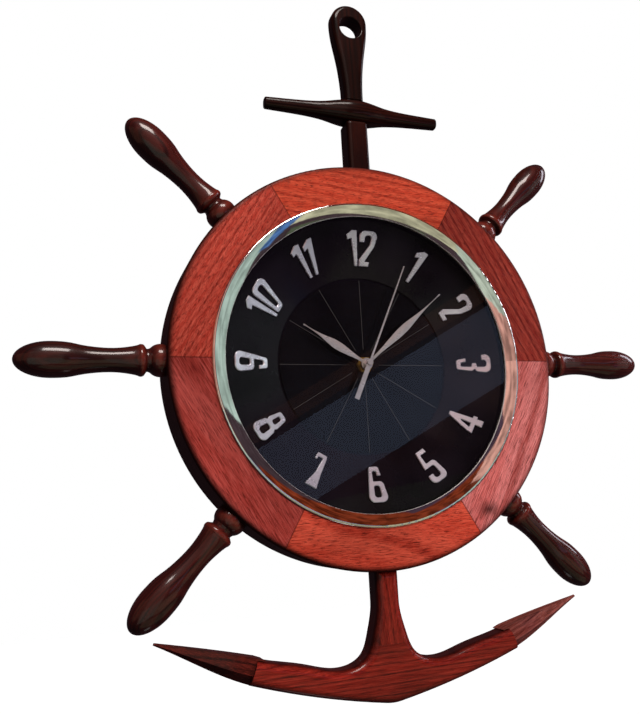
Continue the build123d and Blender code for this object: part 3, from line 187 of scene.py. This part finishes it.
def boardMarks(number, tree, fromHub, fibres):  # painted shade on the outer edge, glue lines and, on one board, a knot
    split = addNode(tree, "SeparateXYZ", {0: fromHub}).outputs
    flat = addNode(tree, "CombineXYZ", {0: split[0], 2: split[2]}).outputs[0]
    radius = addNode(tree, "VectorMath", {0: flat}, operation="LENGTH").outputs["Value"]
    # painted shade: the rim darkens towards its turned outer edge
    edge = addNode(tree, "MapRange", {
        0: radius, 1: rimMarks["edgeFrom"], 2: rimMarks["edgeTo"], 4: rimMarks["edgeShadeShare"]}).outputs[0]
    found = [(edge, rimMarks["edgeShadeColour"])]
    for angle in (radians(boardAngle * (number - 1)), radians(boardAngle * number)):
        across = addNode(tree, "VectorMath", {
            0: flat, 1: (-sin(angle), 0, cos(angle))}, operation="DOT_PRODUCT").outputs["Value"]
        off = addNode(tree, "Math", {0: across}, operation="ABSOLUTE").outputs[0]
        joint = addNode(tree, "MapRange", {
            0: off, 1: 0.0, 2: rimMarks["jointWidth"], 3: rimMarks["jointShare"], 4: 0.0}).outputs[0]
        found.append((joint, rimMarks["jointColour"]))
    if number == rimMarks["knotBoard"]:
        x, z = rimMarks["knotPlace"]
        wide, high = rimMarks["knotSize"]
        dense, gone = rimMarks["knotFade"]
        seat = addNode(tree, "Mapping", {
            "Vector": flat, "Location": (-x / wide, 0, -z / high), "Scale": (1 / wide, 1, 1 / high),
        }).outputs[0]
        away = addNode(tree, "VectorMath", {0: seat}, operation="LENGTH").outputs["Value"]
        ragged = addNode(tree, "Math", {
            0: fibres, 1: rimMarks["knotRagged"], 2: away}, operation="MULTIPLY_ADD").outputs[0]
        knot = addNode(tree, "MapRange", {
            0: ragged, 1: dense, 2: gone, 3: rimMarks["knotShare"], 4: 0.0}).outputs[0]
        found.append((knot, rimMarks["knotColour"]))
    return found


for number, (dark, mid, light) in boardTonesAndLight.items():
    look = dict(rimWood, dark=dark, mid=mid, light=light)
    chord = boardAngle * (number - 0.5) + 90  # the grain runs along the board's chord
    dress(f"rim_segment_{number}", stainedWood(
        f"satinRosewoodBoard{number}", look, chord, woodSeeds["rim"] + number, partial(boardMarks, number)))

# Handles: turned rosewood, dark stain under gloss varnish. Almost black away from the light, with a painted
# red highlight on the crests of bead and collar, and narrow clear highlights.
handleWood = dict(
    rimWood, dark="#1E0705", mid="#360D0A", light="#4C1611", pore="#140504", ringSpacing=5 * mm,
    ringWaver=3.2, fibreWidth=0.5 * mm, fibreShare=0.4, poreShare=0.4, cloudSize=24 * mm, cloudDepth=0.35,
    relief=0.012 * mm, tilt=3, roughness=0.4, specular=0.1, coat=0.6, coatRoughness=0.12, sideShade=0.0,
)
crestHighlight = {
    "colour": "#78281A", "strength": 1.0, "foot": 150 * mm, "length": 95 * mm,
    "crests": [  # share of the length, and how strong the painted highlight is there
        (0.0, 0.2), (0.045, 1.0), (0.09, 0.1), (0.13, 0.0), (0.16, 1.0), (0.20, 0.1), (0.30, 0.0)],
}
handleAngles = {1: 0, 2: 45, 3: 135, 4: 180, 5: 225, 6: 315}


def crestHighlightMarks(angle, tree, fromHub, fibres):  # painted highlight on the crests, broken up by the fibres
    outward = (cos(angle), 0, sin(angle))
    along = addNode(tree, "VectorMath", {0: fromHub, 1: outward}, operation="DOT_PRODUCT").outputs["Value"]
    share = addNode(tree, "MapRange", {
        0: along, 1: crestHighlight["foot"], 2: crestHighlight["foot"] + crestHighlight["length"]}).outputs[0]
    crests = addNode(tree, "ValToRGB", {0: share}, crestHighlight["crests"]).outputs[0]
    patchy = addNode(tree, "Math", {0: crests, 1: fibres}, operation="MULTIPLY").outputs[0]
    amount = addNode(tree, "Math", {
        0: patchy, 1: crestHighlight["strength"]}, operation="MULTIPLY", use_clamp=True).outputs[0]
    return [(amount, crestHighlight["colour"])]


for number, angle in handleAngles.items():
    dress(f"handle_{number}", stainedWood(
        f"glossTurnedRosewood{number}", handleWood, angle, woodSeeds["handles"] + number,
        partial(crestHighlightMarks, radians(angle))))

# Anchor: sawn and filed rosewood under gloss varnish. The top is almost black-brown, the foot a deep red with
# dark streaks along each piece.
anchorWood = dict(
    handleWood, dark="#080201", mid="#170604", light="#2E0E08", specular=0.04, coat=0.25, coatRoughness=0.1,
)
footWood = dict(
    handleWood, dark="#2A0504", mid="#78150B", light="#9E3022", ringSpacing=7 * mm, fibreShare=0.65,
    cloudSize=40 * mm, cloudDepth=0.42, specular=0.06, coat=0.35, coatRoughness=0.14, sideShade=0.85,
)
# The flukes are one wood: the left one's darker tone is painted shade, the right one's paler copy is painted
# light from the window.
shadedFlukeWood = dict(footWood, dark="#160403", mid="#40100B", light="#7E2C21", sideShade=0.3)
windowLitFluke = dict(shadedFlukeWood, dark="#3A120C", mid="#7E3529", light="#B8695C", sideShade=0.0)
anchorPieces = {  # grain angle and stain of each piece
    "eye_shank": (90, anchorWood), "stock": (0, anchorWood), "upper_shank": (90, anchorWood),
    "lower_shank": (90, footWood), "anchor_arms": (0, footWood),
    "fluke_left": (159, shadedFlukeWood), "fluke_right": (21, windowLitFluke),
}
for number, (name, (angle, look)) in enumerate(anchorPieces.items()):
    dress(name, stainedWood(
        finishName("glossFiledRosewood", name), look, angle, woodSeeds["anchor"] + number))

# Dowel: bare beech, turned and left dry, so it is pale and matt.
dowelWood = dict(
    rimWood, dark="#8A6A42", mid="#B08B5A", light="#CBA877", pore="#6E5230", coat=0.0, roughness=0.62,
)
dowelAngle = 90
dress("stock_dowel", stainedWood("bareTurnedBeech", dowelWood, dowelAngle, woodSeeds["dowel"]))
print("stage: wood dressed")


# Metal. Fine lay lines change the gloss a little, so that flats shimmer and edges catch the light unevenly.
metalSheen = {"lineShare": 0.5, "dullShare": 1.25, "brightShare": 0.8}


def workedMetal(name, look):
    made, tree, shader, coords = newMaterial(name)
    lay = addNode(tree, "Mapping", {
        "Vector": coords, "Rotation": (0, radians(look["lay"]), 0), "Scale": (look["stretch"], 1, 1),
    }).outputs[0]
    lines = addNode(tree, "TexNoise", {
        "Vector": lay, "Scale": 1 / look["lineWidth"], "Detail": 4.0}).outputs["Fac"]
    bloom = addNode(tree, "TexNoise", {
        "Vector": coords, "Scale": 1 / look["bloom"], "Detail": 3.0}).outputs["Fac"]
    both = addNode(tree, "Math", {
        0: lines, 1: metalSheen["lineShare"], 2: bloom}, operation="MULTIPLY_ADD").outputs[0]
    tone = addNode(tree, "ValToRGB", {0: both}, [
        (0.55, linear(look["dark"])), (0.95, linear(look["light"]))]).outputs[0]
    rough = addNode(tree, "ValToRGB", {0: both}, [
        (0.5, look["roughness"] * metalSheen["dullShare"]),
        (1.0, look["roughness"] * metalSheen["brightShare"])]).outputs[0]
    relief = addNode(tree, "Bump", {
        "Height": lines, "Distance": look["relief"], "Strength": 0.3}).outputs[0]
    shader.inputs["Metallic"].default_value = look["metallic"]
    if "satinRadius" in look:  # the inner edge is turned, not buffed, so it stays pale
        fromHub = addNode(tree, "VectorMath", {0: coords, 1: hub}, operation="SUBTRACT").outputs[0]
        flat = addNode(tree, "VectorMath", {0: fromHub, 1: (1, 0, 1)}, operation="MULTIPLY").outputs[0]
        radius = addNode(tree, "VectorMath", {0: flat}, operation="LENGTH").outputs["Value"]
        inner = addNode(tree, "Math", {0: radius, 1: look["satinRadius"]}, operation="LESS_THAN").outputs[0]
        rough = addNode(tree, "Mix", {0: inner, 2: rough, 3: look["satinRoughness"]}).outputs[0]
        shine = addNode(tree, "Mix", {0: inner, 2: look["metallic"], 3: look["satinMetallic"]}).outputs[0]
        tree.links.new(shine, shader.inputs["Metallic"])
    coatShader(tree, shader, tone, rough, relief)
    return made


# Bezel: chromed brass, buffed to a mirror: it shows the room, bent round the ring.
bezelMetal = {
    "dark": "#DAD8D4", "light": "#F0EEEA", "roughness": 0.045, "lay": 0, "stretch": 1.0,
    "lineWidth": 6 * mm, "bloom": 40 * mm, "relief": 0.006 * mm, "metallic": 1.0,
    "satinRadius": 110.65 * mm, "satinRoughness": 0.5, "satinMetallic": 0.35,
}
dress("bezel", workedMetal("mirrorChromedBrass", bezelMetal))

# Numerals and hands: satin nickel over a die casting and over stamped sheet: grey flats and bright bevels.
numeralMetal = {
    "dark": "#D2CAD8", "light": "#F4EEFA", "roughness": 0.24, "lay": 0, "stretch": 0.4,
    "lineWidth": 1.5 * mm, "bloom": 12 * mm, "relief": 0.002 * mm, "metallic": 0.66,
}
dress("numerals", workedMetal("satinNickelCasting", numeralMetal))
dress("minute_nut", workedMetal("satinNickelNut", dict(numeralMetal, roughness=0.2, metallic=0.85)))
handMetal = dict(
    numeralMetal, dark="#BEB2B2", light="#DCD0CE", roughness=0.3, stretch=0.08, lineWidth=0.5 * mm,
)
handAngles = {"hour_hand": 301.0, "minute_hand": 49.3, "second_hand": 24.0}  # clockwise from 12 o'clock
for name, angle in handAngles.items():
    dress(name, workedMetal(finishName("brushedNickel", name), dict(handMetal, lay=angle - 90)))

# Nut on the bush: machined brass, warm with turning marks.
brass = dict(numeralMetal, dark="#8E6A2C", light="#C79B4C", roughness=0.3, metallic=0.8)
dress("bush_nut", workedMetal("machinedBrass", brass))

# Motor iron, crystal can and contacts: stamped steel, cool grey and dull.
steel = dict(numeralMetal, dark="#6E6E70", light="#98989A", roughness=0.38, lineWidth=0.4 * mm)
for name in ("quartz_crystal", "coil_core", "stator", "contact_plus", "contact_minus"):
    dress(name, workedMetal(finishName("stampedSteel", name), steel))

# Coil: enamelled copper wire, wound, with fine turns round the bobbin.
copper = dict(numeralMetal, dark="#6A2E15", light="#A5532B", roughness=0.35, stretch=20.0, lineWidth=0.2 * mm)
dress("coil_winding", workedMetal("enamelledCopperWire", copper))
print("stage: metal dressed")


# Lacquer and mouldings. A faint orange peel and slow haze break the mirror.
skinSheen = {"brightShare": 0.8, "dullShare": 1.25}


def coatedSkin(name, look, lines=None):
    made, tree, shader, coords = newMaterial(name)
    peel = addNode(tree, "TexNoise", {
        "Vector": coords, "Scale": 1 / look["peel"], "Detail": 2.0}).outputs["Fac"]
    haze = addNode(tree, "TexNoise", {
        "Vector": coords, "Scale": 1 / look["haze"], "Detail": 5.0}).outputs["Fac"]
    tone = addNode(tree, "ValToRGB", {0: haze}, [
        (0.3, linear(look["dark"])), (0.7, linear(look["light"]))]).outputs[0]
    rough = addNode(tree, "ValToRGB", {0: haze}, [
        (0.3, look["roughness"] * skinSheen["brightShare"]),
        (0.7, look["roughness"] * skinSheen["dullShare"])]).outputs[0]
    if lines:  # whatever stands proud of the face has the lines' colour
        fromHub = addNode(tree, "VectorMath", {0: coords, 1: hub}, operation="SUBTRACT").outputs[0]
        depth = addNode(tree, "SeparateXYZ", {0: fromHub}).outputs[1]
        level = lines["face"] - lines["proud"]
        raised = addNode(tree, "Math", {0: depth, 1: level}, operation="LESS_THAN").outputs[0]
        tone = addNode(tree, "Mix", {
            0: raised, 6: tone, 7: linear(lines["colour"])}, data_type="RGBA").outputs[2]
    if "bareBack" in look:  # the sheet is sprayed on one side only
        facing = addNode(tree, "SeparateXYZ", {0: addNode(tree, "TexCoord").outputs["Normal"]}).outputs[1]
        behind = addNode(tree, "Math", {
            0: facing, 1: look["bareFacing"]}, operation="GREATER_THAN").outputs[0]
        bare = addNode(tree, "ValToRGB", {0: haze}, [
            (0.3, linear(look["bareBack"])), (0.7, linear(look["bareLight"]))]).outputs[0]
        tone = addNode(tree, "Mix", {0: behind, 6: tone, 7: bare}, data_type="RGBA").outputs[2]
        rough = addNode(tree, "Mix", {0: behind, 2: rough, 3: look["bareRoughness"]}).outputs[0]
        shine = addNode(tree, "Math", {0: behind, 1: look["bareMetallic"]}, operation="MULTIPLY").outputs[0]
        tree.links.new(shine, shader.inputs["Metallic"])
    relief = addNode(tree, "Bump", {
        "Height": peel, "Distance": look["relief"], "Strength": 0.3}).outputs[0]
    coatShader(tree, shader, tone, rough, relief)
    shader.inputs["Specular IOR Level"].default_value = look["specular"]
    return made


# Dial: gloss black lacquer, sprayed on the front of sheet aluminium, which stays bare grey behind. The flat
# centre is printed satin black with fine grey hour lines.
dialLacquer = {
    "dark": "#0A070B", "light": "#140F15", "roughness": 0.12, "peel": 9 * mm, "haze": 40 * mm,
    "relief": 0.0006 * mm, "specular": 0.15,
}
panLacquer = dict(
    dialLacquer, bareBack="#7C7D80", bareLight="#9A9B9D", bareFacing=0.05, bareRoughness=0.42,
    bareMetallic=0.7,
)
dress("dial_pan", coatedSkin("glossBlackLacquer", panLacquer))
centreLacquer = dict(dialLacquer, dark="#020203", light="#050406", roughness=0.22, specular=0.2)
centreLines = {"face": 9.3 * mm, "proud": 0.06 * mm, "colour": "#423E3D"}
dress("dial_centre", coatedSkin("satinBlackPrint", centreLacquer, centreLines))

# Movement case, knob and gasket: black plastic and rubber, moulded, with a fine matt grain.
mouldedBlack = {
    "dark": "#101011", "light": "#1D1D1E", "roughness": 0.5, "peel": 0.6 * mm, "haze": 15 * mm,
    "relief": 0.05 * mm, "specular": 0.4,
}
for name in ("movement_case", "movement_cover", "set_knob", "gasket"):
    dress(name, coatedSkin(finishName("mouldedBlack", name), mouldedBlack))

# Wheels and bobbin: natural acetal, moulded, milky with a soft gloss.
acetal = dict(mouldedBlack, dark="#C9C6BC", light="#E2DFD6", roughness=0.4)
for name in ("coil_bobbin", "rotor", "fifth_wheel", "second_wheel", "third_wheel", "centre_wheel",
             "motion_wheel", "hour_wheel", "set_arbor"):
    dress(name, coatedSkin(finishName("mouldedAcetal", name), acetal))

# Board: glass laminate under green solder mask. Battery: a plain shrink sleeve, slightly glossy.
solderMask = dict(mouldedBlack, dark="#0E4A22", light="#17672F", roughness=0.3)
dress("circuit_board", coatedSkin("solderMaskedLaminate", solderMask))
cellSleeve = dict(mouldedBlack, dark="#1B1C22", light="#2A2B33", roughness=0.25)
dress("battery", coatedSkin("shrinkSleevedCell", cellSleeve))


# Glass: float glass, cut and wiped. What lies behind shows through, and it mirrors more at a slant.
def floatGlass(name, look):
    made, tree, _, coords = newMaterial(name)
    wipe = addNode(tree, "TexNoise", {
        "Vector": coords, "Scale": 1 / look["wipe"], "Detail": 4.0}).outputs["Fac"]
    rough = addNode(tree, "ValToRGB", {0: wipe}, [(0.4, 0.0), (0.75, look["smear"])]).outputs[0]
    mirror = addNode(tree, "BsdfGlossy", {"Color": (1, 1, 1, 1), "Roughness": rough}).outputs[0]
    clear = addNode(tree, "BsdfTransparent", {"Color": linear(look["tint"])}).outputs[0]
    slant = addNode(tree, "Fresnel", {"IOR": look["ior"]}).outputs[0]
    leaving = addNode(tree, "NewGeometry").outputs["Backfacing"]  # rays going out aren't mirrored back in
    entering = addNode(tree, "Math", {0: 1.0, 1: leaving}, operation="SUBTRACT").outputs[0]
    share = addNode(tree, "Math", {0: slant, 1: entering}, operation="MULTIPLY").outputs[0]
    showSurface(tree, addNode(tree, "MixShader", {0: share, 1: clear, 2: mirror}).outputs[0])
    return made


glassLook = {"wipe": 25 * mm, "smear": 0.008, "tint": "#FBFDFC", "ior": 1.38}
dress("glass", floatGlass("clearFloatGlass", glassLook))
print("stage: dial and movement dressed")


# Studio. White to the camera, dark cloth round the clock and cards in front of it for the gloss.
nearlyFlat = 0.99  # a sheet that looks this far up or down takes its height along Y


def stageSheet(name, centre, target, width, height, roll, material):  # flat sheet that faces a point
    out = (Vector(target) - Vector(centre)).normalized()
    side = out.cross(Vector((0, 1, 0) if abs(out.z) > nearlyFlat else (0, 0, 1))).normalized()
    rise = side.cross(out)
    lean = radians(roll)
    side, rise = side * cos(lean) + rise * sin(lean), rise * cos(lean) - side * sin(lean)
    corners = [Vector(centre) + side * x * width / 2 + rise * z * height / 2
               for x, z in ((-1, -1), (-1, 1), (1, 1), (1, -1))]
    mesh = bpy.data.meshes.new(name)
    mesh.from_pydata([tuple(c) for c in corners], [], [(0, 1, 2, 3)])
    made = bpy.data.objects.new(name, mesh)
    scene.collection.objects.link(made)
    mesh.materials.append(material)
    return made


def whenSeen(tree):  # 1 for rays from the camera, from mirrors and through glass
    path = addNode(tree, "LightPath").outputs
    either = addNode(tree, "Math", {
        0: path["Is Camera Ray"], 1: path["Is Glossy Ray"]}, operation="MAXIMUM").outputs[0]
    return addNode(tree, "Math", {
        0: either, 1: path["Is Transmission Ray"]}, operation="MAXIMUM").outputs[0]


def paleFloor(look):  # matt paper that adds up to white where it is seen, and still takes a shadow
    made, tree, shader, coords = newMaterial("matFloorPaper")
    fleck = addNode(tree, "TexNoise", {
        "Vector": coords, "Scale": 1 / look["fleck"], "Detail": 3.0}).outputs["Fac"]
    tone = addNode(tree, "ValToRGB", {0: fleck}, [
        (0.3, linear(look["dark"])), (0.7, linear(look["light"]))]).outputs[0]
    tree.links.new(tone, shader.inputs["Base Color"])
    shader.inputs["Roughness"].default_value = look["roughness"]
    glow = addNode(tree, "Emission", {"Strength": look["glow"]}).outputs[0]
    white = addNode(tree, "AddShader", {0: shader.outputs[0], 1: glow}).outputs[0]
    showSurface(tree, addNode(tree, "MixShader", {
        0: whenSeen(tree), 1: shader.outputs[0], 2: white}).outputs[0])
    return made


floorLook = {
    "level": -1.25, "size": 12, "dark": "#DAD6D2", "light": "#E4E1DE", "fleck": 3 * mm, "roughness": 0.9,
    "glow": 0.92,
}
stageSheet("floor", (0, 0, floorLook["level"]), (0, 0, 0), floorLook["size"], floorLook["size"], 0,
           paleFloor(floorLook))

roomLook = {"colour": "#D8D2DA", "strength": 0.22}
world = bpy.data.worlds.new("studioRoom")
scene.world = world
world.use_nodes = True
tree = world.node_tree
white = next(n for n in tree.nodes if n.type == "BACKGROUND")
white.inputs["Color"].default_value = (1, 1, 1, 1)
room = addNode(tree, "Background", {"Color": linear(roomLook["colour"]), "Strength": roomLook["strength"]})
showSurface(tree, addNode(tree, "MixShader", {
    0: whenSeen(tree), 1: room.outputs[0], 2: white.outputs[0]}).outputs[0], "OUTPUT_WORLD")

clothPatch = {"size": 90 * mm, "low": 0.35, "high": 0.65}  # low noise is dim, high noise is bright


def glowCloth(name, colour, strength, patchy):  # patchy glow, for the tent's cloth and the cards
    made, tree, _, coords = newMaterial(name)
    patches = addNode(tree, "TexNoise", {
        "Vector": coords, "Scale": 1 / clothPatch["size"], "Detail": 2.0}).outputs["Fac"]
    level = addNode(tree, "MapRange", {
        0: patches, 1: clothPatch["low"], 2: clothPatch["high"],
        3: (1 - patchy) * strength, 4: (1 + patchy) * strength}).outputs[0]
    showSurface(tree, addNode(tree, "Emission", {"Color": linear(colour), "Strength": level}).outputs[0])
    return made


def blackTent(look):  # egg round the clock: azimuth and elevation on a grid, lower half flatter
    across, up = look["grid"]
    turn, rise = np.meshgrid(np.radians(np.linspace(-180, 180, across)),
                             np.radians(np.linspace(-look["pole"], look["pole"], up)), indexing="ij")
    high = np.where(rise > 0, look["height"], look["depth"])
    ring = look["radius"] * np.cos(rise)
    grid = np.stack([ring * np.sin(turn), -ring * np.cos(turn), hub.z + high * np.sin(rise)], -1)
    corner = (np.arange(across - 1)[:, None] * up + np.arange(up - 1)).ravel()
    faces = np.stack([corner, corner + up, corner + up + 1, corner + 1], -1)
    mesh = bpy.data.meshes.new("blackTent")
    mesh.from_pydata(grid.reshape(-1, 3).tolist(), [], faces.tolist())
    made = bpy.data.objects.new("blackTent", mesh)
    scene.collection.objects.link(made)
    mesh.materials.append(glowCloth("blackVelvet", look["colour"], look["glow"], look["patchy"]))
    made.visible_camera = False


tentLook = {
    "radius": 2.6, "height": 2.2, "depth": 0.9, "pole": 88, "grid": (49, 33),
    "colour": "#44363C", "glow": 1.0, "patchy": 0.2,
}
blackTent(tentLook)

# Cards: azimuth, elevation and distance from the hub, width and height in metres, roll, colour, strength and
# patchiness.
cards = {
    "windowCard": (58, -1, 1.25, 0.58, 0.92, 0, "#C4DDD4", 0.75, 0.3),
    "paneCard": (84, 24, 1.25, 0.20, 0.60, 0, "#F4F2FF", 9.0, 0.2),
    "blueCard": (44, -12, 1.25, 0.11, 0.34, 0, "#5B86C8", 0.7, 0.5),
    "hedgeCard": (20, -32, 1.25, 1.45, 0.85, 0, "#C8C6A8", 0.85, 0.35),
    "pathCard": (20, -64, 0.85, 1.30, 0.40, 0, "#A8A68C", 0.8, 0.35),
    "leafCard": (-26, -20, 1.25, 1.30, 1.00, 0, "#C2CFC0", 0.9, 0.35),
    "woodCard": (-24, 19, 1.25, 1.20, 0.95, 0, "#C89488", 1.1, 0.45),
    "doorCard": (-72, 8, 1.25, 0.95, 0.95, 0, "#A87868", 1.0, 0.45),
    "shelfCard": (32, 54, 1.80, 1.80, 1.55, 0, "#8A3A22", 0.7, 0.6),
    "ceilingCard": (-150, 74, 1.80, 1.80, 1.10, 0, "#7A4030", 0.7, 0.6),
    "skyCard": (26, 5.6, 1.25, 0.78, 0.17, 28, "#7C86A2", 2.1, 0.06),
    "beamCard": (24, 10.8, 1.25, 0.80, 0.045, 28, "#8A5E54", 0.9, 0.3),
    "lawnCard": (24, -7, 1.25, 0.60, 0.16, 8, "#4A5442", 1.2, 0.4),
    "wallCard": (14, 22, 1.25, 0.60, 0.34, 28, "#5A4658", 0.6, 0.3),
}
for name, (azimuth, elevation, away, width, height, roll, colour, strength, patchy) in cards.items():
    turn, rise = radians(azimuth), radians(elevation)
    way = Vector((cos(rise) * sin(turn), -cos(rise) * cos(turn), sin(rise)))
    cloth = glowCloth(name, colour, strength, patchy)
    card = stageSheet(name, hub + away * way, hub, width, height, roll, cloth)
    card.visible_camera = card.visible_diffuse = card.visible_shadow = False  # only gloss sees a card

lamps = {  # place and size in metres, power in watts, colour, and whether mirrors show it
    "windowBox": ((1.38, -0.95, -0.12), (0.5, 0.9), 25, "#F6F0FF", False),
    "topBox": ((-0.13, -0.91, 1.03), (0.8, 0.5), 26, "#FFF3EC", True),
    "backBox": ((0.0, 1.9, -0.1), (0.8, 0.8), 26, "#FFF8F2", False),
}
for name, (place, size, power, colour, mirrored) in lamps.items():
    data = bpy.data.lights.new(name, "AREA")
    data.shape = "RECTANGLE"
    data.size, data.size_y = size
    data.energy = power
    data.color = linear(colour)[:3]
    lamp = bpy.data.objects.new(name, data)
    lamp.location = place
    lamp.rotation_euler = (hub - Vector(place)).to_track_quat("-Z", "Y").to_euler()
    lamp.visible_glossy = mirrored
    scene.collection.objects.link(lamp)
print("stage: studio lit")

# Camera: fitted to the photograph. The rows of its rotation are camera right, down and forward.
cameraFit = {
    "turn": (1.35069, -0.29413, 0.26040), "place": (-0.22379, -0.52535, -0.37581), "focalPixels": 777.74,
    "centre": (343.21, 351.73), "frame": (640, 714), "sensor": 36, "nearest": 0.01,
}
turn = Vector(cameraFit["turn"])
right, down, forward = Matrix.Rotation(turn.length, 3, turn.normalized())
aim = Matrix((right, -down, -forward)).transposed().to_4x4()
frameWidth, frameHeight = cameraFit["frame"]
centreX, centreY = cameraFit["centre"]
camera = bpy.data.objects.new("camera", bpy.data.cameras.new("camera"))
scene.collection.objects.link(camera)
camera.matrix_world = Matrix.Translation(cameraFit["place"]) @ aim
camera.data.sensor_width = cameraFit["sensor"]
camera.data.lens = cameraFit["focalPixels"] / frameHeight * cameraFit["sensor"]
camera.data.shift_x = (frameWidth / 2 - centreX) / frameHeight
camera.data.shift_y = (centreY - frameHeight / 2) / frameHeight
camera.data.clip_start = cameraFit["nearest"]
scene.camera = camera
scene.view_settings.view_transform = "Standard"

print("stage: camera set")
